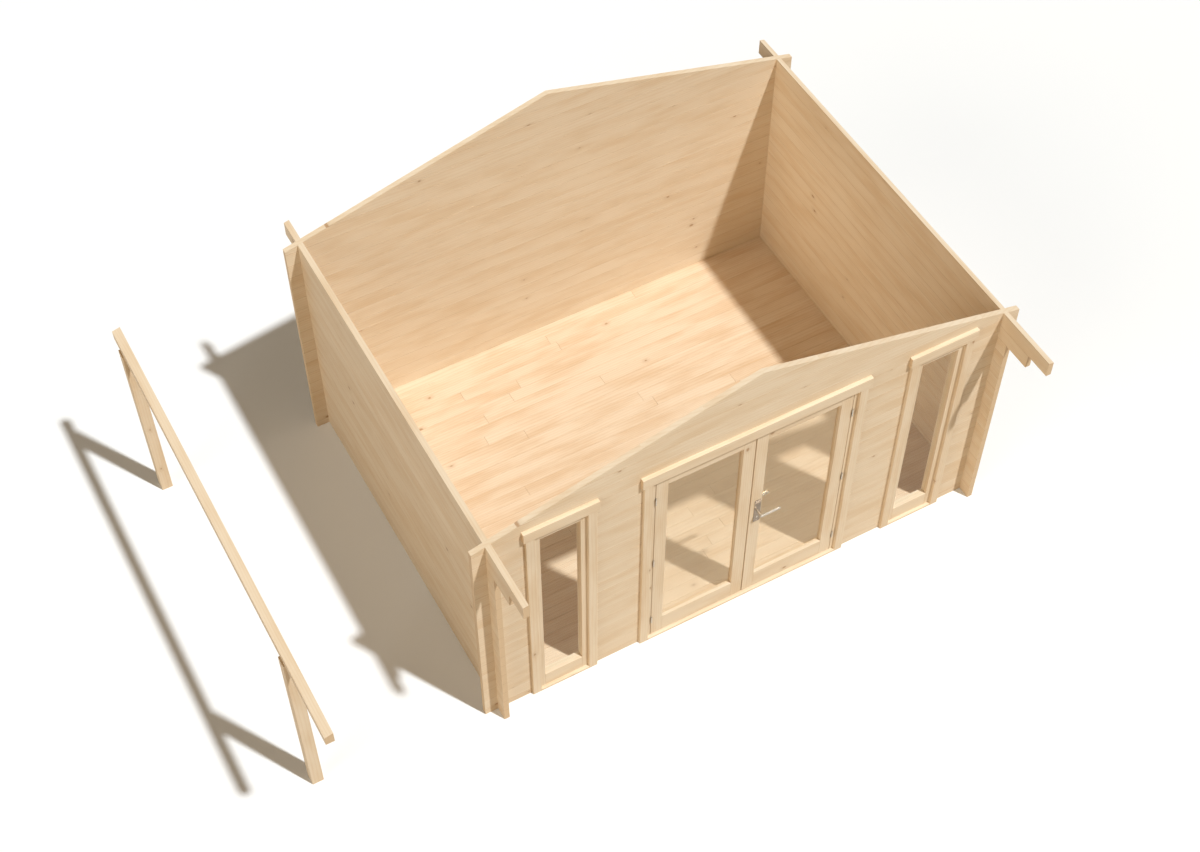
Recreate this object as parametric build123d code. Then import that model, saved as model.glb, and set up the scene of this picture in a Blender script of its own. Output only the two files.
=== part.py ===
from build123d import *
import math
import os

# Garden house of stacked logs with an open lean-to frame on its left side, shown without its roof.
# Working frame: x from the outer face of the left wall, y from the outer face of the front wall
# towards the back, z up from the ground. The pieces are written about the middle of the whole
# footprint, with +Z up and the front facing -Y. All sizes are in millimetres.

# Log walls
wall_width = 4000.0
wall_depth = 2950.0
log_thickness = 40.0
log_height = 119.5
side_courses = 17
gable_courses = 22
corner_end = 100.0
joint_bevel = 1.5
ridge_height = 2564.0

# Eaves logs that run past the walls to carry the roof edge
top_log_front = 512.0
top_log_back = 205.0
corbel_log_front = 314.0

# Floor
bearer_height = 57.0
bearer_width = 45.0
bearer_count = 7
floor_thickness = 18.0
floor_clearance = 0.3

# Boards on the front
casing_width = 65.0
casing_thickness = 24.0
bottom_board_height = 20.0
board_edge = 2.0
head_board_height = 95.0
head_board_thickness = 30.0
head_board_end = 18.0
head_board_drop = 52.0
window_casing_start = 270.0
window_casing_span = 515.0
door_casing_start = 1135.0

# Frames in the openings
frame_cover = 25.0
frame_depth = 60.0
window_member = 45.0
window_bottom_member = 155.0
window_top_member = 122.0
glass_thickness = 4.0
glass_recess = 22.0
glass_bite = 12.0
glazing_bevel = 4.0

# Double door
jamb_shows = 30.0
door_clearance = 5.0
meeting_gap = 8.5
opening_play = 5.0
leaf_thickness = 40.0
leaf_stile = 92.0
leaf_top_rail = 92.0
leaf_bottom_rail = 170.0
door_head_depth = 62.0
stop_width = 12.0
stop_depth = 15.0
threshold_height = 20.0

# Hinges
hinge_count = 3
hinge_first = 190.0
hinge_last = 1650.0
hinge_stand_off = 9.0
knuckle_radius = 5.0
knuckle_length = 36.0
knuckle_gap = 0.3
pin_radius = 2.5
pin_clearance = 0.05
pin_length = 25.0
hinge_plate_depth = 30.0
hinge_plate_thickness = 1.5

# Lock and lever
lock_height = 1010.0
lever_from_meeting = 60.0
plate_width = 52.0
plate_height = 249.0
plate_thickness = 3.0
plate_corner = 7.0
neck_radius = 9.0
neck_clearance = 0.3
lever_stand_off = 50.0
lever_reach = 155.0
lever_height = 20.0
lever_thickness = 13.0
lever_edge = 3.0
leaf_bore_radius = 11.0

# Lean-to frame
post_size = 84.0
post_axis_x = -1343.0
front_post_front = 85.0
back_post_front = 2920.0
post_edge = 3.0
beam_width = 60.0
beam_height = 80.0
beam_front = -540.0
beam_back = 3115.0

# Sizes that follow from the ones above
eaves_height = side_courses * log_height
middle_x = wall_width / 2
roof_slope = (ridge_height - eaves_height) / middle_x
side_joints = [course * log_height for course in range(1, side_courses)]
gable_joints = [(course - 0.5) * log_height for course in range(1, gable_courses + 1)]
opening_head = gable_joints[side_courses - 1]
floor_top = bearer_height + floor_thickness
window_opening_start = window_casing_start + casing_width - frame_cover
window_opening_end = window_casing_start + window_casing_span - casing_width + frame_cover
door_opening_start = door_casing_start + casing_width - frame_cover - opening_play
door_opening_end = wall_width - door_opening_start
jamb_face = door_casing_start + casing_width + jamb_shows
leaf_bottom = threshold_height + door_clearance
head_board_bottom = opening_head - head_board_drop
door_head_bottom = head_board_bottom - door_clearance
leaf_top = door_head_bottom - door_clearance
leaf_outer = jamb_face + door_clearance
leaf_inner = middle_x - meeting_gap / 2
hinge_x = leaf_outer - door_clearance / 2
lever_x = middle_x + meeting_gap / 2 + lever_from_meeting
beam_left = post_axis_x - beam_width / 2
beam_bottom = eaves_height + roof_slope * beam_left - beam_height

# Footprint of the whole object, whose middle is the origin
footprint_x = (post_axis_x - post_size / 2, wall_width + corner_end)
footprint_y = (beam_front, wall_depth + top_log_back)
origin_shift = Vector(-sum(footprint_x) / 2, -sum(footprint_y) / 2, 0)


def block(x_span, y_span, z_span):
    """Square block between two corners."""
    size = [span[1] - span[0] for span in (x_span, y_span, z_span)]
    corner = Pos(x_span[0], y_span[0], z_span[0])
    return corner * Box(*size, align=(Align.MIN, Align.MIN, Align.MIN))


def mirrored(shape):
    """The same piece on the other side of the building's middle."""
    return mirror(shape, about=Plane.YZ.offset(middle_x))


def roof_height(x):
    """Height of the roof's underside over x, on either slope and over the lean-to."""
    return eaves_height + roof_slope * min(x, wall_width - x)


def face_line(bottom, top, joints):
    """One face of a stack of logs as (inset, height) points, bevelled at each joint."""
    points = []
    for level in [bottom, *[joint for joint in joints if bottom < joint < top], top]:
        if level not in joints:
            points.append((0, level))
            continue
        if level > bottom:
            points.append((0, level - joint_bevel))
        points.append((joint_bevel, level))
        if level < top:
            points.append((0, level + joint_bevel))
    return points


def front_logs(x_span, z_span, y_face=0.0):
    """Logs that lie along x, between two heights."""
    line = face_line(*z_span, gable_joints)
    section = [(x_span[0], y_face + inset, level) for inset, level in line]
    section += [(x_span[0], y_face + log_thickness - inset, level) for inset, level in reversed(line)]
    return extrude(make_face(Polyline(*section, close=True)), x_span[1] - x_span[0], dir=(1, 0, 0))


def left_logs(y_span, z_span, bevelled_top=False):
    """Logs of the left wall, which lie along y; the top one follows the roof's slope."""
    line = face_line(*z_span, side_joints)
    section = [(inset, y_span[0], level) for inset, level in line]
    inner = [(log_thickness - inset, y_span[0], level) for inset, level in reversed(line)]
    if bevelled_top:
        inner[0] = (log_thickness, y_span[0], roof_height(log_thickness))
    section += inner
    return extrude(make_face(Polyline(*section, close=True)), y_span[1] - y_span[0], dir=(0, 1, 0))


def corner_blocks(heights):
    """Blocks over these heights in all four corner columns, where the walls cross."""
    blocks = []
    for x in (0, wall_width - log_thickness):
        for y in (0, wall_depth - log_thickness):
            for low, high in heights:
                blocks.append(block((x, x + log_thickness), (y, y + log_thickness), (low, high)))
    return blocks


def near(shape, blocks):
    """The blocks that can touch a shape."""
    box = shape.bounding_box()
    touching = []
    for one in blocks:
        other = one.bounding_box()
        if (
            other.min.X < box.max.X and other.max.X > box.min.X
            and other.min.Y < box.max.Y and other.max.Y > box.min.Y
            and other.min.Z < box.max.Z and other.max.Z > box.min.Z
        ):
            touching.append(one)
    return touching


# At a crossing each log keeps the middle half of its height, so the courses lock together
side_holds = [((course + 0.25) * log_height, (course + 0.75) * log_height) for course in range(side_courses)]
gable_holds = [((course - 0.25) * log_height, (course + 0.25) * log_height) for course in range(side_courses)]
gable_holds.append(((side_courses - 0.25) * log_height, ridge_height))


def notched_for_sides(shape):
    """Front or back logs with the notches that take the side logs."""
    return shape - near(shape, corner_blocks(side_holds))


def notched_for_gables(shape):
    """Side logs with the notches that take the front and back logs."""
    return shape - near(shape, corner_blocks(gable_holds))


def under_roof(shape):
    """Cut a gable to the two roof slopes, ends included."""
    sides = (-corner_end, wall_width + corner_end)
    outline = [
        (sides[0], 0, roof_height(sides[0])),
        (middle_x, 0, ridge_height),
        (sides[1], 0, roof_height(sides[1])),
        (sides[1], 0, 0),
        (sides[0], 0, 0),
    ]
    below = extrude(make_face(Polyline(*outline, close=True)), wall_depth, dir=(0, 1, 0))
    return shape & below


def log_walls():
    """Front wall in pieces beside and over its openings, back wall and side walls."""
    nodes = {}
    full_x = (-corner_end, wall_width + corner_end)
    end = notched_for_sides(front_logs((full_x[0], window_opening_start), (0, opening_head)))
    pier = front_logs((window_opening_end, door_opening_start), (0, opening_head))
    nodes["front_wall_left_end"] = end
    nodes["front_wall_left_pier"] = pier
    nodes["front_wall_right_pier"] = mirrored(pier)
    nodes["front_wall_right_end"] = mirrored(end)
    gable = under_roof(front_logs(full_x, (opening_head, ridge_height)))
    nodes["front_gable"] = notched_for_sides(gable)
    back = under_roof(front_logs(full_x, (0, ridge_height), wall_depth - log_thickness))
    nodes["back_wall"] = notched_for_sides(back)
    wall_top = side_joints[-2]
    corbel_top = side_joints[-1]
    wall = left_logs((-corner_end, wall_depth + corner_end), (0, wall_top))
    corbel = left_logs((-corbel_log_front, wall_depth + corner_end), (wall_top, corbel_top))
    eaves = left_logs((-top_log_front, wall_depth + top_log_back), (corbel_top, eaves_height), True)
    for name, logs in (("wall", wall), ("corbel_log", corbel), ("top_log", eaves)):
        logs = notched_for_gables(logs)
        nodes[f"left_{name}"] = logs
        nodes[f"right_{name}"] = mirrored(logs)
    return nodes


def patch(x_span, y_span):
    """Flat rectangle on the ground between two corners."""
    size = (x_span[1] - x_span[0], y_span[1] - y_span[0])
    return Pos(x_span[0], y_span[0]) * Rectangle(*size, align=(Align.MIN, Align.MIN))


def floor():
    """Boards on bearers, between the walls and clear of the frames, which stand further in."""
    edge = log_thickness + floor_clearance
    inside_x = (edge, wall_width - edge)
    inside_y = (edge, wall_depth - edge)
    frames = []
    for x_span, depth in (
        ((window_opening_start, window_opening_end), frame_depth),
        ((wall_width - window_opening_end, wall_width - window_opening_start), frame_depth),
        ((door_opening_start, door_opening_end), door_head_depth),
    ):
        sides = (x_span[0] - floor_clearance, x_span[1] + floor_clearance)
        frames.append(patch(sides, (0, depth + floor_clearance)))
    boards = Pos(0, 0, bearer_height) * extrude(patch(inside_x, inside_y) - frames, floor_thickness)
    pitch = (inside_x[1] - inside_x[0] - bearer_width) / (bearer_count - 1)
    bearers = []
    for number in range(bearer_count):
        start = inside_x[0] + number * pitch
        plan = patch((start, start + bearer_width), inside_y) - frames
        bearers.append(extrude(plan, bearer_height))
    return {"floor_boards": boards, "floor_bearers": Compound(children=bearers)}


def window():
    """Left window: a full-height frame, its pane, the casing boards, bottom board and head board."""
    outer_x = (window_opening_start, window_opening_end)
    casing_x = (window_casing_start, window_casing_start + window_casing_span)
    glass_x = (casing_x[0] + casing_width + window_member, casing_x[1] - casing_width - window_member)
    glass_z = (window_bottom_member, opening_head - window_top_member)
    frame = block(outer_x, (0, frame_depth), (0, opening_head))
    frame -= block(glass_x, (0, frame_depth), glass_z)
    frame = bevelled_opening(frame)
    pane_y = (glass_recess, glass_recess + glass_thickness)
    pane = block(
        (glass_x[0] - glass_bite, glass_x[1] + glass_bite),
        pane_y,
        (glass_z[0] - glass_bite, glass_z[1] + glass_bite),
    )
    frame -= pane
    boards = casing(casing_x)
    return {"window_frame": frame, "window_glass": pane, **{f"window_{k}": v for k, v in boards.items()}}


def bevelled_opening(frame):
    """A frame with the edges round its opening taken off, on both faces."""
    for side in (0, -1):
        face = frame.faces().sort_by(Axis.Y)[side]
        frame = chamfer(face.inner_wires()[0].edges(), glazing_bevel)
    return frame


def eased(board):
    """A board with the edges of its front face taken off."""
    return chamfer(board.faces().sort_by(Axis.Y)[0].edges(), board_edge)


def casing(casing_x):
    """Boards round an opening: two uprights under a head board, and a low board between them."""
    inner_x = (casing_x[0] + casing_width, casing_x[1] - casing_width)
    board_y = (-casing_thickness, 0)
    left = eased(block((casing_x[0], inner_x[0]), board_y, (0, head_board_bottom)))
    right = eased(block((inner_x[1], casing_x[1]), board_y, (0, head_board_bottom)))
    foot = block(inner_x, board_y, (0, bottom_board_height))
    head = block(
        (casing_x[0] - head_board_end, casing_x[1] + head_board_end),
        (-head_board_thickness, 0),
        (head_board_bottom, head_board_bottom + head_board_height),
    )
    return {"casing": Compound(children=[left, right]), "bottom_board": eased(foot), "head_board": eased(head)}


def door_frame():
    """Jambs, head and threshold in the log opening, each with a stop behind the leaves."""
    stop_y = (leaf_thickness + door_clearance, leaf_thickness + door_clearance + stop_depth)
    jamb = block((door_opening_start, jamb_face), (0, door_head_depth), (threshold_height, opening_head))
    jamb += block((jamb_face, jamb_face + stop_width), stop_y, (floor_top, opening_head))
    head_x = (jamb_face, wall_width - jamb_face)
    head = block(head_x, (0, door_head_depth), (door_head_bottom, opening_head))
    stop_x = (jamb_face + stop_width, wall_width - jamb_face - stop_width)
    drop = door_head_bottom - stop_width
    head += block(stop_x, stop_y, (drop, door_head_bottom))
    head -= block((jamb_face, jamb_face + stop_width), stop_y, (drop, opening_head))
    head -= block((wall_width - jamb_face - stop_width, wall_width - jamb_face), stop_y, (drop, opening_head))
    threshold = block((door_opening_start, door_opening_end), (0, door_head_depth), (0, threshold_height))
    step = block(head_x, (stop_y[0], door_head_depth), (threshold_height, floor_top))
    boards = casing((door_casing_start, wall_width - door_casing_start))
    return {
        "door_jambs": Compound(children=[jamb, mirrored(jamb)]),
        "door_frame_head": head,
        "door_threshold": threshold,
        "door_threshold_step": step,
        **{f"door_{k}": v for k, v in boards.items()},
    }


def door_leaf():
    """Left leaf: a glazed frame of two stiles and two rails, with its pane."""
    leaf = block((leaf_outer, leaf_inner), (0, leaf_thickness), (leaf_bottom, leaf_top))
    glass_x = (leaf_outer + leaf_stile, leaf_inner - leaf_stile)
    glass_z = (leaf_bottom + leaf_bottom_rail, leaf_top - leaf_top_rail)
    leaf -= block(glass_x, (0, leaf_thickness), glass_z)
    leaf = bevelled_opening(leaf)
    pane = block(
        (glass_x[0] - glass_bite, glass_x[1] + glass_bite),
        (glass_recess, glass_recess + glass_thickness),
        (glass_z[0] - glass_bite, glass_z[1] + glass_bite),
    )
    return leaf - pane, pane


def hinges():
    """Pins on the jamb and barrels on the left leaf, with their plates in the gap between the two."""
    pitch = (hinge_last - hinge_first) / (hinge_count - 1)
    plate_y = (-hinge_stand_off, hinge_plate_depth)
    pins = []
    barrels = []
    for number in range(hinge_count):
        low = hinge_first + number * pitch
        middle = low + knuckle_length
        start = middle + knuckle_gap
        lower = Pos(hinge_x, -hinge_stand_off, low) * up_cylinder(knuckle_radius, knuckle_length)
        lower += block((jamb_face, jamb_face + hinge_plate_thickness), plate_y, (low, middle))
        lower += Pos(hinge_x, -hinge_stand_off, middle) * up_cylinder(pin_radius, pin_length)
        upper = Pos(hinge_x, -hinge_stand_off, start) * up_cylinder(knuckle_radius, knuckle_length)
        upper += block((leaf_outer - hinge_plate_thickness, leaf_outer), plate_y, (start, start + knuckle_length))
        upper -= Pos(hinge_x, -hinge_stand_off, start) * up_cylinder(pin_radius + pin_clearance, pin_length)
        pins.append(lower)
        barrels.append(upper)
    return Compound(children=pins), Compound(children=barrels)


def up_cylinder(radius, height):
    """Upright cylinder on its own base."""
    return Cylinder(radius, height, align=(Align.CENTER, Align.CENTER, Align.MIN))


def along_y(radius, y_span, x, z):
    """Round bar along y."""
    length = y_span[1] - y_span[0]
    return Pos(x, y_span[0], z) * Rot(-90, 0, 0) * up_cylinder(radius, length)


def lock_plates():
    """Plates on both faces of the right leaf's meeting stile, bored for the lever's neck."""
    plates = []
    for y_face in (-plate_thickness, leaf_thickness):
        half = plate_width / 2
        z_span = (lock_height - plate_height / 2, lock_height + plate_height / 2)
        plate = block((lever_x - half, lever_x + half), (y_face, y_face + plate_thickness), z_span)
        plate = fillet(plate.edges().filter_by(Axis.Y), plate_corner)
        bore = along_y(neck_radius + neck_clearance, (y_face, y_face + plate_thickness), lever_x, lock_height)
        plates.append(plate - bore)
    return Compound(children=plates)


def door_handle():
    """Levers outside and inside, on one neck through the leaf."""
    outside = -lever_stand_off - lever_thickness
    inside = leaf_thickness + lever_stand_off
    handle = along_y(neck_radius, (outside + lever_thickness / 2, inside + lever_thickness / 2), lever_x, lock_height)
    for low in (outside, inside):
        handle += lever_bar(low)
    return handle


def lever_bar(low):
    """Lever with a rounded root and tip, along x."""
    radius = lever_height / 2
    bar = block(
        (lever_x - radius, lever_x + lever_reach),
        (low, low + lever_thickness),
        (lock_height - radius, lock_height + radius),
    )
    bar = fillet(bar.edges().filter_by(Axis.Y), radius - lever_edge)
    return chamfer(bar.edges().filter_by(Axis.X), lever_edge)


def lean_to():
    """Two posts and the beam that carries the lean-to's edge of the roof."""
    beam_right = beam_left + beam_width
    outline = [
        (beam_left, beam_front, beam_bottom),
        (beam_right, beam_front, beam_bottom),
        (beam_right, beam_front, roof_height(beam_right)),
        (beam_left, beam_front, roof_height(beam_left)),
    ]
    beam = extrude(make_face(Polyline(*outline, close=True)), beam_back - beam_front, dir=(0, 1, 0))
    half = post_size / 2
    nodes = {"lean_to_beam": beam}
    for name, front in (("front", front_post_front), ("back", back_post_front)):
        post = block((post_axis_x - half, post_axis_x + half), (front, front + post_size), (0, beam_bottom))
        nodes[f"lean_to_{name}_post"] = chamfer(post.edges().filter_by(Axis.Z), post_edge)
    return nodes


def all_nodes():
    """Every piece of the building by name, in the working frame."""
    nodes = {**log_walls(), **floor(), **door_frame(), **lean_to()}
    for name, piece in window().items():
        nodes[f"left_{name}"] = piece
        nodes[f"right_{name}"] = mirrored(piece)
    leaf, pane = door_leaf()
    pins, barrels = hinges()
    for side, placed in (("left", lambda piece: piece), ("right", mirrored)):
        nodes[f"{side}_door_leaf"] = placed(leaf)
        nodes[f"{side}_door_glass"] = placed(pane)
        nodes[f"{side}_hinge_pins"] = placed(pins)
        nodes[f"{side}_hinge_barrels"] = placed(barrels)
    bore = along_y(leaf_bore_radius, (0, leaf_thickness), lever_x, lock_height)
    nodes["right_door_leaf"] -= bore
    nodes["door_lock_plates"] = lock_plates()
    nodes["door_handle"] = door_handle()
    return nodes


os.makedirs("parts", exist_ok=True)
for node_name, node_shape in all_nodes().items():
    export_step(Pos(*origin_shift) * node_shape, f"parts/{node_name}.step")
print("hinge axis", hinge_x + origin_shift.X, -hinge_stand_off + origin_shift.Y)
print("lever axis", lever_x + origin_shift.X, lock_height)
print("eaves", eaves_height, "slope", math.degrees(math.atan(roof_slope)), "origin", origin_shift)
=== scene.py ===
import math
import random

import bmesh
import bpy
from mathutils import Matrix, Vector


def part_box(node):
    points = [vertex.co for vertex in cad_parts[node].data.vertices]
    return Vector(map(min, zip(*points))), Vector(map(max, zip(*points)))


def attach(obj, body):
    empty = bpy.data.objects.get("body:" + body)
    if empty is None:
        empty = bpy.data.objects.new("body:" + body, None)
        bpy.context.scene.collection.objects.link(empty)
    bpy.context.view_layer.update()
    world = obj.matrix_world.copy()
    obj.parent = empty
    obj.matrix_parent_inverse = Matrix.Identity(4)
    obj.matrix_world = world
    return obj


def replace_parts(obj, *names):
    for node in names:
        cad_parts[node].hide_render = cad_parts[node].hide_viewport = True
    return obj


# The looks of a roofless log garden house with an open lean-to frame. Lengths are in metres, in the
# frame's own axes: +Z up, the front faces -Y and the lean-to stands on the -X side.

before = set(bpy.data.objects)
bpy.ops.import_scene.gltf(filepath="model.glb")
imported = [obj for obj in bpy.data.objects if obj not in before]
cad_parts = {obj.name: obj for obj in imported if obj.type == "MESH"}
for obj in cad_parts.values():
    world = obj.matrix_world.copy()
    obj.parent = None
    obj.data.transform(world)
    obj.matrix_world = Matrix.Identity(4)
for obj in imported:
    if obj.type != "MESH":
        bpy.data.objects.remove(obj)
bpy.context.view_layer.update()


# Sizes that the model has as well
log_height = 0.1195
corner_end = 0.100
glass_bite = 0.012
spindle_bore_radius = 0.011

# Sizes of the floor boards and of the stiles and rails
floor_board_width = 0.096
floor_gap = 0.0008
floor_board_round = 0.0012
shortest_first_board = 0.9
longest_first_board = 3.0
board_seed = 11
joinery_round = 0.002
drill_length = 0.2

# Sizes of the lock's details
key_drop = 0.072
key_radius = 0.0085
key_stands = 0.004
screw_inset = 0.014
screw_radius = 0.0038
screw_stands = 0.0008
disc_sides = 24
rim_chamfer = 0.3
keyhole_half_width = 0.0006
keyhole_half_height = 0.0045
keyhole_stands = 0.0002
keyhole_round = 0.0001

# The photograph's view, measured from the corner where the left and front walls' outer faces meet
camera_from_corner = Vector((-2.6294, -6.2288, 12.0562))
target_from_corner = Vector((1.8390, 1.8484, 0.0))
camera_roll = math.radians(0.066)
camera_lens = 58.13
sensor_width = 36.0
camera_reach = 200.0
ground_size = 120.0

# Light
sun_travel = Vector((-0.252, 0.426, -0.869))
sun_strength = 3.05
sun_angle = math.radians(2.2)
fill_travel = Vector((0.86, 0.30, -0.42))
fill_strength = 0.88
fill_angle = math.radians(35.0)
sky_strength = 0.17
sun_colour = (1.0, 1.0, 0.985)
fill_colour = (1.0, 0.90, 0.77)
sky_colour = (1.0, 0.75, 0.47)

# Colours, as linear values
wood_light = (0.85, 0.735, 0.570)
wood_dark = (0.72, 0.545, 0.350)
# Painted shade in the groove where one log meets the next
groove_shade_colour = (0.42, 0.25, 0.12)
knot_colour = (0.40, 0.215, 0.095)
floor_light = (0.84, 0.700, 0.535)
floor_dark = (0.67, 0.460, 0.270)
end_colour = (0.74, 0.56, 0.360)
steel_colour = (0.60, 0.545, 0.47)
# Darker, browner copy of the steel colour for the lock plates: painted shade on the plates
plate_painted_shade_colour = (0.31, 0.245, 0.185)
glass_colour = (0.96, 0.985, 0.975)
door_glass_colour = (0.90, 0.91, 0.89)
warm_reflection = (0.88, 0.70, 0.46)
ground_colour = (0.54, 0.46, 0.36)
ground_seen = (0.92, 0.96, 1.0)
# Near-black of the keyhole slots: painted shade of each keyhole's depth
painted_keyhole_shade_colour = (0.02, 0.02, 0.02)
white = (1.0, 1.0, 1.0)

# Wood figure; each set of scales runs along the piece, across it and through it
board_pitch = 0.10
post_pitch = 0.25
figure_shift = 40.0
drift_scales = (0.9, 5.0, 1.0)
drift_depth = 0.055
fibre_scales = (3.0, 260.0, 260.0)
patch_scales = (2.0, 10.0, 10.0)
patch_range = (0.35, 0.75)
ring_lean = 0.7
ring_rate = 210.0
ring_rate_spread = 190.0
ring_bend = 0.010
ring_range = (-0.2, 1.0)

# Knots
knot_share = 0.16
knot_share_edge = 0.02
knot_cell_run = 0.8
knot_scatter = 0.8
knot_stretch = 0.62
knot_smallest = 0.006
knot_size_spread = 0.009
knot_blur = 0.005
halo_reach = 0.030
wobble_scale = 55.0
wobble_depth = 0.006

# Sawn ends, and joint lines of painted groove shade
arc_scale = 45.0
arc_distortion = 1.5
arc_mix = 0.35
pith_shift = 0.05
end_facing = (0.8, 0.9)
joint_width = 0.0032
joint_shade = 0.45
joint_facing = (0.8, 0.95)

# How strongly each part of the figure shows
rings_mix = 0.20
fibre_mix = 0.22
patch_mix = 0.50
tone_mix = 0.10
halo_mix = 0.30
knot_mix = 0.75
halo_darkening = 0.8
arc_darkening = 0.75

# Sheen, glass and relief, which is a bump's strength and its depth
wood_roughness = 0.50
fibre_roughness = 0.16
wood_sheen = 0.35
wood_relief = (0.25, 0.0006)
pane_index = 1.12
door_pane_reflection = 0.16
coat_roughness = 0.08
brush_scales = (40.0, 1800.0, 1800.0)
brush_range = (0.3, 0.7)
brush_roughness = (0.24, 0.42)
brush_darkening = 0.8
brush_relief = (0.08, 0.0002)
ground_roughness = 0.9

house_low = Vector(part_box("front_wall_left_end")[0])
house_corner = Vector((house_low.x + corner_end, house_low.y, 0.0))


# Node helpers

def new_material(name):
    """New material with its node tree and its Principled shader."""
    material = bpy.data.materials.new(name)
    material.use_nodes = True
    tree = material.node_tree
    return material, tree, tree.nodes["Principled BSDF"]


def math_node(tree, operation, first, second=None, third=None):
    """Math node on sockets or plain numbers; returns its output."""
    node = tree.nodes.new("ShaderNodeMath")
    node.operation = operation
    for slot, value in enumerate((first, second, third)):
        if value is None:
            continue
        if isinstance(value, (int, float)):
            node.inputs[slot].default_value = value
        else:
            tree.links.new(value, node.inputs[slot])
    return node.outputs[0]


def combine(tree, x, y, z):
    """Vector from three sockets or numbers."""
    node = tree.nodes.new("ShaderNodeCombineXYZ")
    for slot, value in enumerate((x, y, z)):
        if isinstance(value, (int, float)):
            node.inputs[slot].default_value = value
        else:
            tree.links.new(value, node.inputs[slot])
    return node.outputs[0]


def noise(tree, vector, detail=2.0, rough=0.5, scale=1.0):
    """Value of a noise texture."""
    node = tree.nodes.new("ShaderNodeTexNoise")
    node.inputs["Scale"].default_value = scale
    node.inputs["Detail"].default_value = detail
    node.inputs["Roughness"].default_value = rough
    tree.links.new(vector, node.inputs["Vector"])
    return node.outputs[0]


def remap(tree, value, low, high, to_low=0.0, to_high=1.0):
    """Clamped map from one range to another."""
    node = tree.nodes.new("ShaderNodeMapRange")
    node.interpolation_type = "SMOOTHSTEP"
    tree.links.new(value, node.inputs["Value"])
    for name, number in (("From Min", low), ("From Max", high), ("To Min", to_low), ("To Max", to_high)):
        node.inputs[name].default_value = number
    return node.outputs[0]


def darker(colour, share):
    """The same colour at a share of its brightness."""
    return tuple(share * part for part in colour)


def mix_colour(tree, factor, first, second):
    """Colour mix of sockets or plain colours."""
    node = tree.nodes.new("ShaderNodeMix")
    node.data_type = "RGBA"
    sockets = (node.inputs[0], node.inputs[6], node.inputs[7])
    for socket, value in zip(sockets, (factor, first, second)):
        if isinstance(value, (int, float)):
            socket.default_value = value
        elif isinstance(value, tuple):
            socket.default_value = (*value, 1.0)
        else:
            tree.links.new(value, socket)
    return node.outputs[2]


def scaled(tree, lengths, scales):
    """Vector of three lengths, each with its own scale."""
    pairs = zip(lengths, scales)
    return combine(tree, *(math_node(tree, "MULTIPLY", length, scale) for length, scale in pairs))


def relief(tree, height, strength_and_depth, shader):
    """Bump of a shader from a height."""
    bump = tree.nodes.new("ShaderNodeBump")
    bump.inputs["Strength"].default_value, bump.inputs["Distance"].default_value = strength_and_depth
    tree.links.new(height, bump.inputs["Height"])
    tree.links.new(bump.outputs[0], shader.inputs["Normal"])


def seen_plainly(tree):
    """One for a camera, transmitted or mirrored ray, and nothing for the rays that carry light."""
    path = tree.nodes.new("ShaderNodeLightPath").outputs
    seen = math_node(tree, "MAXIMUM", path["Is Camera Ray"], path["Is Transmission Ray"])
    return math_node(tree, "MAXIMUM", seen, path["Is Glossy Ray"])


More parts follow.
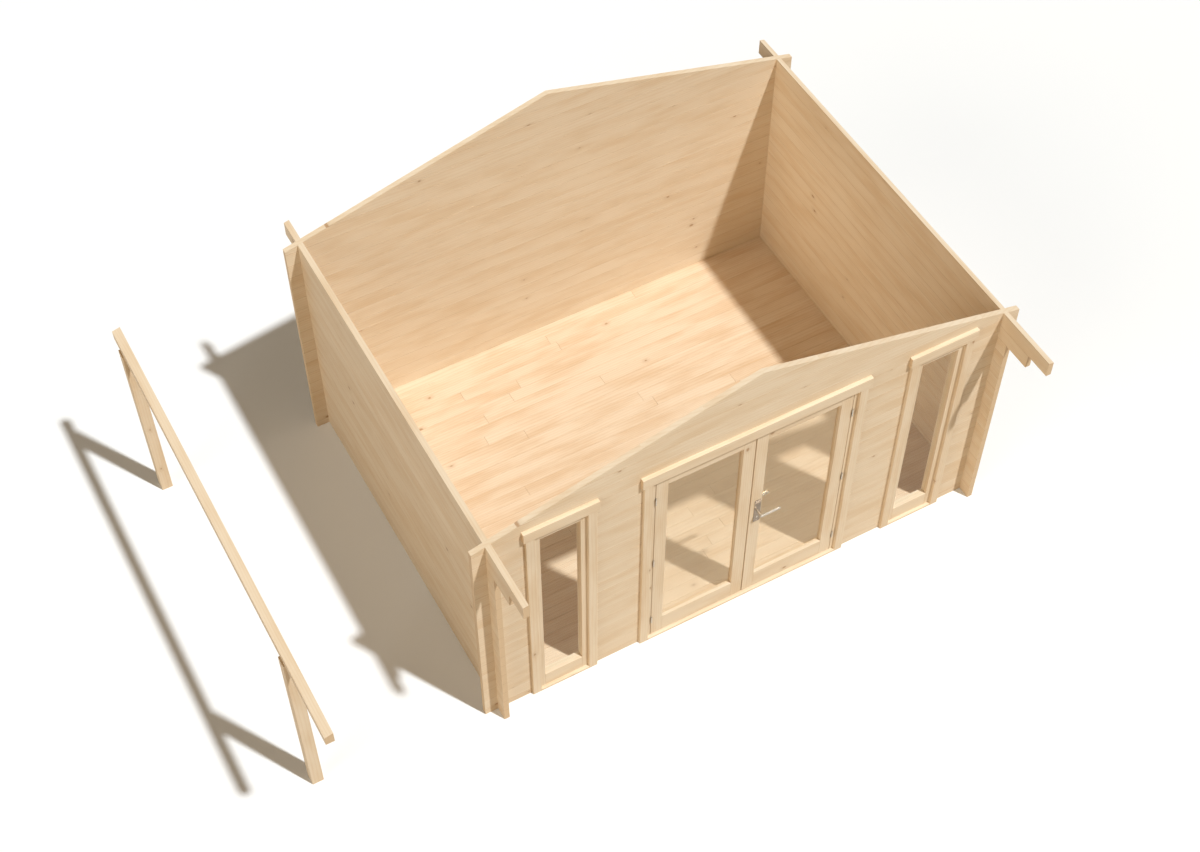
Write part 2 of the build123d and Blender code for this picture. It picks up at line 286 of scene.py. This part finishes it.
def wood(
    name, grain, stack, pitch,
    phase=0.0, each="course", tones=(wood_light, wood_dark), knots=knot_share, knot_run=knot_cell_run,
):
    """Planed softwood whose fibres run along one axis, in pieces stacked along another.

    grain and stack are 0, 1 or 2 for x, y or z; pitch is the height of one piece of the stack and
    phase moves the joints. Each piece has its own tone, figure and knots: a piece is one course of
    the stack, one whole object or one loose board of an object. knots is the share of knot cells
    that hold a knot, and knot_run the length of a cell.
    """
    light, dark = tones
    material, tree, shader = new_material(name)
    links = tree.links
    place = tree.nodes.new("ShaderNodeTexCoord")
    split = tree.nodes.new("ShaderNodeSeparateXYZ")
    links.new(place.outputs["Object"], split.inputs[0])
    along = split.outputs[grain]
    across = split.outputs[stack]
    through = split.outputs[3 - grain - stack]

    # Which piece of the stack this is, and its own random numbers
    if each == "course":
        raised = math_node(tree, "ADD", across, phase)
        course = math_node(tree, "FLOOR", math_node(tree, "DIVIDE", raised, pitch))
    elif each == "object":
        course = tree.nodes.new("ShaderNodeObjectInfo").outputs["Random"]
    else:
        course = tree.nodes.new("ShaderNodeNewGeometry").outputs["Random Per Island"]
    piece = tree.nodes.new("ShaderNodeTexWhiteNoise")
    piece.noise_dimensions = "1D"
    links.new(course, piece.inputs["W"])
    tone = piece.outputs["Value"]
    own = tree.nodes.new("ShaderNodeSeparateColor")
    links.new(piece.outputs["Color"], own.inputs[0])
    shift = math_node(tree, "MULTIPLY", tone, figure_shift)
    run = math_node(tree, "ADD", along, shift)

    # Knots: one random place in each cell of a strip along the piece
    cell = tree.nodes.new("ShaderNodeTexVoronoi")
    cell.voronoi_dimensions = "2D"
    cell.inputs["Scale"].default_value = 1.0
    cell.inputs["Randomness"].default_value = knot_scatter
    cell_run = math_node(tree, "DIVIDE", run, knot_run)
    strip = combine(tree, cell_run, math_node(tree, "DIVIDE", across, pitch), 0.0)
    links.new(strip, cell.inputs["Vector"])
    offset = tree.nodes.new("ShaderNodeVectorMath")
    offset.operation = "SUBTRACT"
    links.new(strip, offset.inputs[0])
    links.new(cell.outputs["Position"], offset.inputs[1])
    apart = tree.nodes.new("ShaderNodeSeparateXYZ")
    links.new(offset.outputs[0], apart.inputs[0])
    lengthwise = math_node(tree, "MULTIPLY", apart.outputs[0], knot_run * knot_stretch)
    sidewise = math_node(tree, "MULTIPLY", apart.outputs[1], pitch)
    wobble = noise(tree, place.outputs["Object"], detail=1.0, scale=wobble_scale)
    squares = (math_node(tree, "POWER", lengthwise, 2.0), math_node(tree, "POWER", sidewise, 2.0))
    radius = math_node(tree, "SQRT", math_node(tree, "ADD", *squares))
    distance = math_node(tree, "ADD", radius, math_node(tree, "MULTIPLY", wobble, wobble_depth))
    luck = tree.nodes.new("ShaderNodeSeparateColor")
    links.new(cell.outputs["Color"], luck.inputs[0])
    present = remap(tree, luck.outputs[0], 1.0 - knots, 1.0 - knots + knot_share_edge)
    size = math_node(tree, "MULTIPLY_ADD", luck.outputs[1], knot_size_spread, knot_smallest)
    rim = math_node(tree, "SUBTRACT", distance, size)
    knot = math_node(tree, "MULTIPLY", remap(tree, rim, knot_blur, -knot_blur), present)
    halo = math_node(tree, "MULTIPLY", remap(tree, rim, halo_reach, 0.0), present)

    # Growth rings: bands across the piece, drawn out along it, that bend round the knots
    lengths = (run, across, through)
    drift = noise(tree, scaled(tree, lengths, drift_scales))
    bend = math_node(tree, "MULTIPLY", halo, ring_bend)
    ring_place = math_node(tree, "ADD", math_node(tree, "MULTIPLY_ADD", drift, drift_depth, across), bend)
    ring_place = math_node(tree, "MULTIPLY_ADD", through, ring_lean, ring_place)
    rate = math_node(tree, "MULTIPLY_ADD", own.outputs[1], ring_rate_spread, ring_rate)
    wave = math_node(tree, "SINE", math_node(tree, "MULTIPLY", ring_place, rate))
    rings = remap(tree, wave, *ring_range)
    fibre = noise(tree, scaled(tree, lengths, fibre_scales), detail=3.0, rough=0.6)
    patch = noise(tree, scaled(tree, lengths, patch_scales), detail=3.0)

    figure = math_node(tree, "MULTIPLY", fibre, fibre_mix)
    figure = math_node(tree, "MULTIPLY_ADD", rings, rings_mix, figure)
    figure = math_node(tree, "MULTIPLY_ADD", remap(tree, patch, *patch_range), patch_mix, figure)
    figure = math_node(tree, "MULTIPLY_ADD", tone, tone_mix, figure)
    colour = mix_colour(tree, math_node(tree, "MINIMUM", figure, 1.0), light, dark)
    stained = darker(dark, halo_darkening)
    colour = mix_colour(tree, math_node(tree, "MULTIPLY", halo, halo_mix), colour, stained)
    colour = mix_colour(tree, math_node(tree, "MULTIPLY", knot, knot_mix), colour, knot_colour)

    # Sawn ends, where the surface faces along the fibres
    facing = tree.nodes.new("ShaderNodeSeparateXYZ")
    links.new(place.outputs["Normal"], facing.inputs[0])
    end = remap(tree, math_node(tree, "ABSOLUTE", facing.outputs[grain]), *end_facing)
    arcs = tree.nodes.new("ShaderNodeTexWave")
    arcs.wave_type = "RINGS"
    arcs.rings_direction = "X"
    arcs.inputs["Scale"].default_value = arc_scale
    arcs.inputs["Distortion"].default_value = arc_distortion
    height = math_node(tree, "PINGPONG", across, pitch / 2)
    depth = math_node(tree, "ADD", through, math_node(tree, "MULTIPLY", tone, pith_shift))
    links.new(combine(tree, 0.0, height, depth), arcs.inputs["Vector"])
    late_wood = math_node(tree, "MULTIPLY", arcs.outputs["Fac"], arc_mix)
    sawn = mix_colour(tree, late_wood, end_colour, darker(end_colour, arc_darkening))
    colour = mix_colour(tree, end, colour, sawn)

    # Painted shade of the groove where one log meets the next, though not along a sloping top
    if each == "course":
        from_joint = math_node(tree, "PINGPONG", math_node(tree, "ADD", across, phase), pitch / 2)
        upward = math_node(tree, "ABSOLUTE", facing.outputs[stack])
        shade = remap(tree, upward, *joint_facing, joint_shade, 0.0)
        groove_shade = math_node(tree, "MULTIPLY", remap(tree, from_joint, joint_width, 0.0), shade)
        colour = mix_colour(tree, groove_shade, colour, groove_shade_colour)
    links.new(colour, shader.inputs["Base Color"])

    rough = math_node(tree, "MULTIPLY_ADD", fibre, fibre_roughness, wood_roughness)
    links.new(rough, shader.inputs["Roughness"])
    raised_grain = math_node(tree, "SUBTRACT", math_node(tree, "ADD", fibre, rings), knot)
    relief(tree, raised_grain, wood_relief, shader)
    shader.inputs["Specular IOR Level"].default_value = wood_sheen
    return material


def glass_material(name, colour, reflection=0.0):
    """Pane that lets light and shadow rays through; reflection is the share of a warm mirror coat."""
    material, tree, shader = new_material(name)
    nodes = tree.nodes
    links = tree.links
    shader.inputs["Base Color"].default_value = (*colour, 1.0)
    shader.inputs["Roughness"].default_value = 0.0
    shader.inputs["IOR"].default_value = pane_index
    shader.inputs["Transmission Weight"].default_value = 1.0
    coat = nodes.new("ShaderNodeBsdfGlossy")
    coat.inputs["Color"].default_value = (*warm_reflection, 1.0)
    coat.inputs["Roughness"].default_value = coat_roughness
    coated = nodes.new("ShaderNodeMixShader")
    coated.inputs[0].default_value = reflection
    links.new(shader.outputs[0], coated.inputs[1])
    links.new(coat.outputs[0], coated.inputs[2])
    clear = nodes.new("ShaderNodeBsdfTransparent")
    path = nodes.new("ShaderNodeLightPath").outputs
    blend = nodes.new("ShaderNodeMixShader")
    through = math_node(tree, "MAXIMUM", path["Is Shadow Ray"], path["Is Diffuse Ray"])
    links.new(through, blend.inputs[0])
    links.new(coated.outputs[0], blend.inputs[1])
    links.new(clear.outputs[0], blend.inputs[2])
    links.new(blend.outputs[0], nodes["Material Output"].inputs["Surface"])
    return material


def steel_material(name, colour):
    """Brushed steel with fine lines along x."""
    material, tree, shader = new_material(name)
    links = tree.links
    place = tree.nodes.new("ShaderNodeTexCoord")
    scale = tree.nodes.new("ShaderNodeMapping")
    scale.inputs["Scale"].default_value = brush_scales
    links.new(place.outputs["Object"], scale.inputs["Vector"])
    lines = noise(tree, scale.outputs[0])
    tint = mix_colour(tree, lines, colour, darker(colour, brush_darkening))
    links.new(tint, shader.inputs["Base Color"])
    links.new(remap(tree, lines, *brush_range, *brush_roughness), shader.inputs["Roughness"])
    shader.inputs["Metallic"].default_value = 1.0
    relief(tree, lines, brush_relief, shader)
    return material


front_logs = wood("logs_along_x", 0, 2, log_height, phase=log_height / 2)
side_logs = wood("logs_along_y", 1, 2, log_height)
upright = wood("joinery_upright", 2, 0, board_pitch, each="object", knots=0.12)
level = wood("joinery_level", 0, 2, board_pitch, each="object", knots=0.12)
stile_wood = wood("joinery_stiles", 2, 0, board_pitch, each="board", knots=0.10)
rail_wood = wood("joinery_rails", 0, 2, board_pitch, each="board", knots=0.10)
post_wood = wood("post_upright", 2, 0, post_pitch, each="object", knots=0.5, knot_run=0.5)
beam_wood = wood("beam_along_y", 1, 2, post_pitch, each="object", knots=0.5, knot_run=0.6)
floor_tones = (floor_light, floor_dark)
floor_wood = wood("floor_boards", 0, 1, floor_board_width, each="board", tones=floor_tones, knots=0.07)
pane = glass_material("window_glass", glass_colour)
door_pane = glass_material("door_glass", door_glass_colour, door_pane_reflection)
steel = steel_material("brushed_steel", steel_colour)
# The lock plates get a darker copy of the brushed steel, with their shade painted into its colour
plate_steel_painted_shade = steel_material("steel_with_painted_shade", plate_painted_shade_colour)
painted_keyhole_shade = steel_material("painted_keyhole_shade", painted_keyhole_shade_colour)


# Carried-over pieces

def dress(node, material):
    """Give a node of the model its material."""
    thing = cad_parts[node]
    thing.data.materials.clear()
    thing.data.materials.append(material)


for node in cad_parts:
    if node.endswith("door_glass"):
        dress(node, door_pane)
    elif "glass" in node:
        dress(node, pane)
    elif node == "door_lock_plates":
        dress(node, plate_steel_painted_shade)
    elif "hinge" in node or node == "door_handle":
        dress(node, steel)
    elif node.startswith("front_") or node == "back_wall":
        dress(node, front_logs)
    elif node in ("left_wall", "right_wall") or node.endswith("_log"):
        dress(node, side_logs)
    elif node.endswith("_post"):
        dress(node, post_wood)
    elif node == "lean_to_beam" or node == "floor_bearers":
        dress(node, beam_wood)
    elif node.endswith(("casing", "jambs")):
        dress(node, upright)
    else:
        dress(node, level)


# Added pieces

def corners(node):
    """Lowest and highest corner of a node at rest."""
    low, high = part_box(node)
    return Vector(low), Vector(high)


def joined(name, pieces, body="root"):
    """One object from several boards."""
    bpy.ops.object.select_all(action="DESELECT")
    for piece in pieces:
        piece.select_set(True)
    bpy.context.view_layer.objects.active = pieces[0]
    bpy.ops.object.join()
    pieces[0].name = name
    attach(pieces[0], body)
    return pieces[0]


def linked(name, shape, material):
    """Object with a finished shape's mesh, in one material."""
    mesh = bpy.data.meshes.new(name)
    shape.to_mesh(mesh)
    shape.free()
    mesh.materials.append(material)
    piece = bpy.data.objects.new(name, mesh)
    bpy.context.collection.objects.link(piece)
    return piece


def loose_board(low, high, material, edge=joinery_round):
    """Planed board between two corners with softly rounded edges, joined into a larger piece later."""
    shape = bmesh.new()
    bmesh.ops.create_cube(shape, size=1.0)
    size = Vector(high) - Vector(low)
    middle = (Vector(high) + Vector(low)) / 2
    for vertex in shape.verts:
        vertex.co = Vector(a * b for a, b in zip(vertex.co, size)) + middle
    bmesh.ops.bevel(shape, geom=shape.edges[:], offset=edge, segments=2, profile=0.5, affect="EDGES")
    return linked("board", shape, material)


def floor_boarding():
    """Tongued floor boards in staggered lengths, in place of the plain floor."""
    low, high = corners("floor_boards")
    draw = random.Random(board_seed)
    rows = round((high.y - low.y) / floor_board_width)
    pitch = (high.y - low.y) / rows
    frame_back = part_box("door_jambs")[1][1] + floor_gap
    pieces = []
    for row in range(rows):
        front = low.y + row * pitch
        near = max(front + floor_gap / 2, frame_back if row == 0 else front)
        far = front + pitch - floor_gap / 2
        cuts = (low.x, low.x + draw.uniform(shortest_first_board, longest_first_board), high.x)
        for start, stop in zip(cuts, cuts[1:]):
            corner = (start + floor_gap / 2, near, low.z)
            opposite = (stop - floor_gap / 2, far, high.z)
            pieces.append(loose_board(corner, opposite, floor_wood, floor_board_round))
    floor = joined("floor_boarding", pieces)
    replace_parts(floor, "floor_boards")


def bore(piece, centre):
    """Round hole through a board along y, for the lever's spindle."""
    bpy.ops.mesh.primitive_cylinder_add(
        vertices=disc_sides,
        radius=spindle_bore_radius,
        depth=drill_length,
        location=centre,
        rotation=(math.pi / 2, 0.0, 0.0),
    )
    drill = bpy.context.object
    cut = piece.modifiers.new("bore", "BOOLEAN")
    cut.operation = "DIFFERENCE"
    cut.solver = "EXACT"
    cut.object = drill
    bpy.context.view_layer.objects.active = piece
    bpy.ops.object.modifier_apply(modifier=cut.name)
    bpy.data.objects.remove(drill, do_unlink=True)


def sash(node, pane_node, body, pieces_name, spindle=None):
    """Stiles and rails in place of a plain frame round a pane, its first stile bored for a spindle."""
    low, high = corners(node)
    pane_low, pane_high = corners(pane_node)
    left = pane_low.x + glass_bite
    right = pane_high.x - glass_bite
    bottom = pane_low.z + glass_bite
    top = pane_high.z - glass_bite
    pieces = [
        loose_board(low, (left, high.y, high.z), stile_wood),
        loose_board((right, low.y, low.z), high, stile_wood),
        loose_board((left, low.y, low.z), (right, high.y, bottom), rail_wood),
        loose_board((left, low.y, top), (right, high.y, high.z), rail_wood),
    ]
    if spindle:
        bore(pieces[0], spindle)
    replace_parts(joined(pieces_name, pieces, body), node)


def disc(place, radius, depth, direction):
    """Round steel plate on a face that looks along y, with its rim chamfered; direction is -1 or 1."""
    shape = bmesh.new()
    rings = ((radius, 0.0), (radius, (1 - rim_chamfer) * depth), (radius - rim_chamfer * depth, depth))
    loops = []
    for size, out in rings:
        loop = []
        for step in range(disc_sides):
            turn = 2 * math.pi * step / disc_sides
            spoke = Vector((size * math.cos(turn), direction * out, size * math.sin(turn)))
            loop.append(shape.verts.new(place + spoke))
        loops.append(loop)
    for inner, outer in zip(loops, loops[1:]):
        for step in range(disc_sides):
            after = (step + 1) % disc_sides
            shape.faces.new((inner[step], inner[after], outer[after], outer[step]))
    shape.faces.new(loops[0])
    shape.faces.new(loops[-1])
    bmesh.ops.recalc_face_normals(shape, faces=shape.faces[:])
    return linked("disc", shape, steel)


def lock_details():
    """Key cylinders, plate screws and keyhole slots of painted shade on both sides of the lock."""
    low, high = corners("door_lock_plates")
    middle = (low + high) / 2
    bright = []
    dark = []
    for face, direction in ((low.y, -1), (high.y, 1)):
        key = Vector((middle.x, face, middle.z - key_drop))
        bright.append(disc(key, key_radius, key_stands, direction))
        out = direction * key_stands
        # Each keyhole is no hole but a thin near-black slot on the cylinder: painted shade of the
        # keyhole's depth
        slot_low = key + Vector((-keyhole_half_width, out - keyhole_stands, -keyhole_half_height))
        slot_high = key + Vector((keyhole_half_width, out + keyhole_stands, keyhole_half_height))
        dark.append(loose_board(slot_low, slot_high, painted_keyhole_shade, keyhole_round))
        for height in (low.z + screw_inset, high.z - screw_inset):
            screw = Vector((middle.x, face, height))
            bright.append(disc(screw, screw_radius, screw_stands, direction))
    joined("lock_cylinders_and_screws", bright, "right_leaf")
    joined("keyholes", dark, "right_leaf")


floor_boarding()
for side in ("left", "right"):
    sash(f"{side}_window_frame", f"{side}_window_glass", "root", f"{side}_window_joinery")
lever_low, lever_high = corners("door_handle")
plates_low, plates_high = corners("door_lock_plates")
spindle = Vector(((plates_low.x + plates_high.x) / 2, plates_low.y, (lever_low.z + lever_high.z) / 2))
sash("left_door_leaf", "left_door_glass", "left_leaf", "left_leaf_joinery")
sash("right_door_leaf", "right_door_glass", "right_leaf", "right_leaf_joinery", spindle)
lock_details()


# Stage, light and camera

def stage_floor():
    """Plain pale ground that shows white to the camera and keeps the shadows."""
    bpy.ops.mesh.primitive_plane_add(size=ground_size, location=(0.0, 0.0, 0.0))
    ground = bpy.context.object
    ground.name = "ground"
    material, tree, shader = new_material("ground")
    colour = mix_colour(tree, seen_plainly(tree), ground_colour, ground_seen)
    tree.links.new(colour, shader.inputs["Base Color"])
    shader.inputs["Roughness"].default_value = ground_roughness
    shader.inputs["Specular IOR Level"].default_value = 0.0
    ground.data.materials.append(material)


def lights():
    """A sun from the front right, a broad warm fill from the left and a weak warm sky, seen as white."""
    for name, travel, strength, angle, colour in (
        ("sun", sun_travel, sun_strength, sun_angle, sun_colour),
        ("fill", fill_travel, fill_strength, fill_angle, fill_colour),
    ):
        light = bpy.data.lights.new(name, "SUN")
        light.energy = strength
        light.angle = angle
        light.color = colour
        lamp = bpy.data.objects.new(name, light)
        lamp.rotation_euler = travel.to_track_quat("-Z", "Y").to_euler()
        bpy.context.collection.objects.link(lamp)
    world = bpy.data.worlds.new("sky")
    bpy.context.scene.world = world
    world.use_nodes = True
    tree = world.node_tree
    sky = tree.nodes["Background"].inputs
    sky["Strength"].default_value = 1.0
    colour = mix_colour(tree, seen_plainly(tree), darker(sky_colour, sky_strength), white)
    tree.links.new(colour, sky["Color"])


def camera():
    """The photograph's view."""
    data = bpy.data.cameras.new("camera")
    data.lens = camera_lens
    data.sensor_width = sensor_width
    data.sensor_fit = "HORIZONTAL"
    data.clip_end = camera_reach
    view = bpy.data.objects.new("camera", data)
    bpy.context.collection.objects.link(view)
    place = house_corner + camera_from_corner
    aim = house_corner + target_from_corner
    turn = (aim - place).to_track_quat("-Z", "Y")
    view.location = place
    view.rotation_euler = turn.to_euler()
    view.rotation_euler.rotate_axis("Z", camera_roll)
    bpy.context.scene.camera = view


stage_floor()
lights()
camera()
bpy.context.scene.view_settings.view_transform = "Standard"
